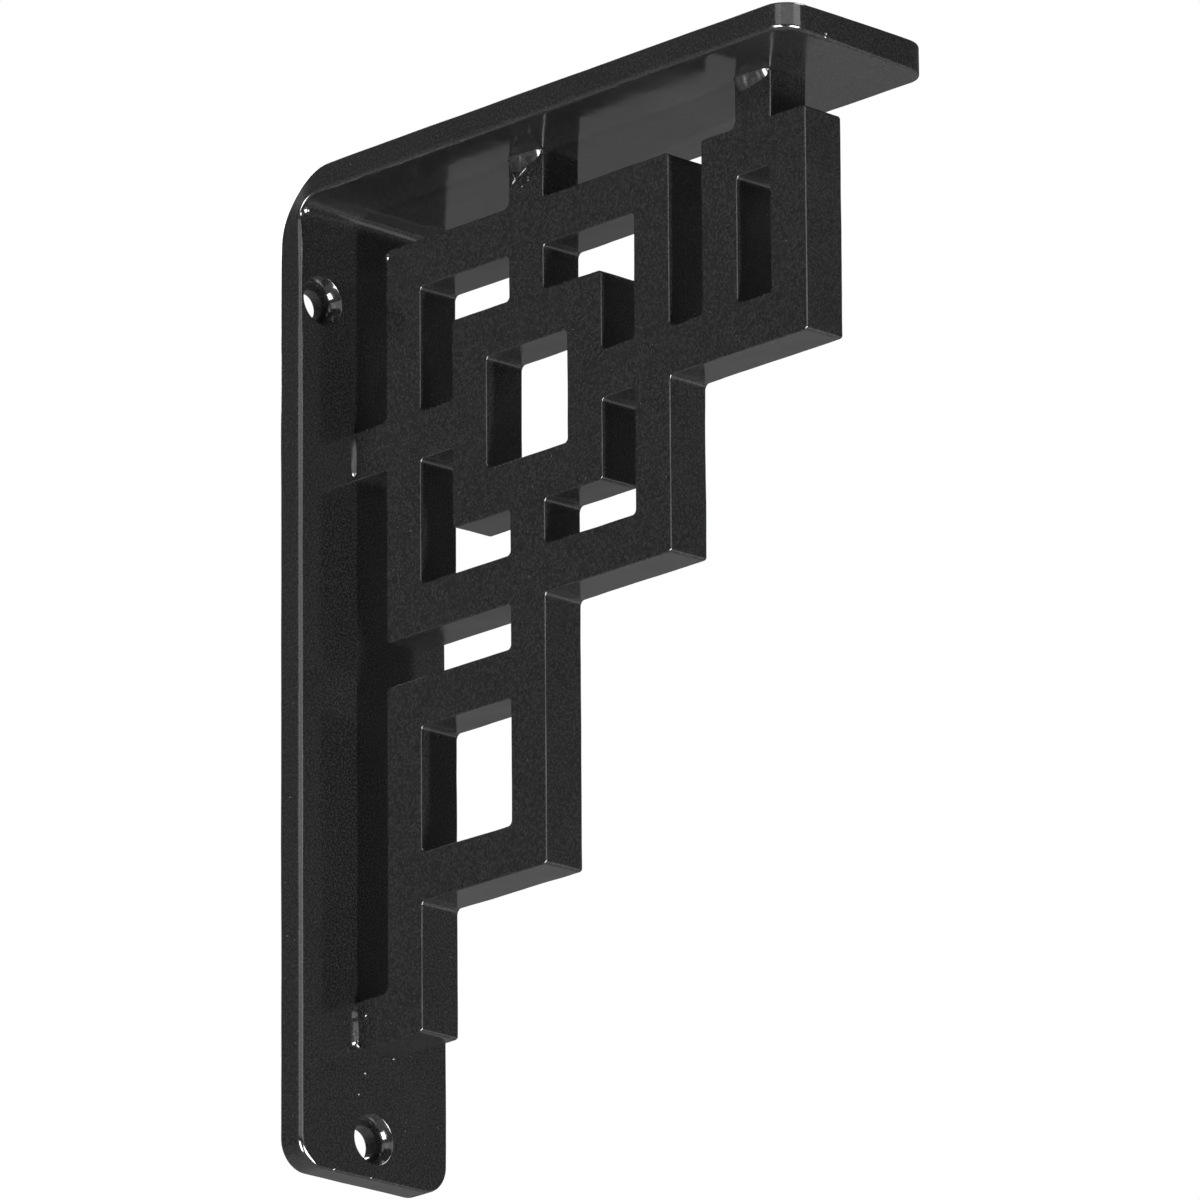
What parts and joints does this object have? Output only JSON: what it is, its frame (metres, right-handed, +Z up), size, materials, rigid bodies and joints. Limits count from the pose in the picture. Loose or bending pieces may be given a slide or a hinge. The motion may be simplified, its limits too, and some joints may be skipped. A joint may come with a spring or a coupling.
{
  "type": "wrought iron bracket",
  "caption": "Black painted iron shelf bracket: a bent flat bar with countersunk screw holes and a stepped openwork plate of squares welded into its corner.",
  "frame": {"origin": "centre of the leg's flat back face, at mid height, on the wall", "axes": "+X out from the wall along the arm, +Y across the width, +Z up along the leg"},
  "size_m": [0.1905, 0.0508, 0.2666],
  "materials": {
    "black_paint": "black semi-gloss paint with a fine grain over iron",
    "weld_paint": "the same black paint, glossier and uneven over weld metal"
  },
  "bodies": {
    "root": {"bent_flat_bar": "black_paint", "openwork_plate": "black_paint", "weld_arm_inner_left": "weld_paint", "weld_arm_inner_right": "weld_paint", "weld_arm_outer_left": "weld_paint", "weld_arm_outer_right": "weld_paint", "weld_leg_upper_left": "weld_paint", "weld_leg_upper_right": "weld_paint", "weld_leg_lower_left": "weld_paint", "weld_leg_lower_right": "weld_paint"}
  },
  "joints": []
}
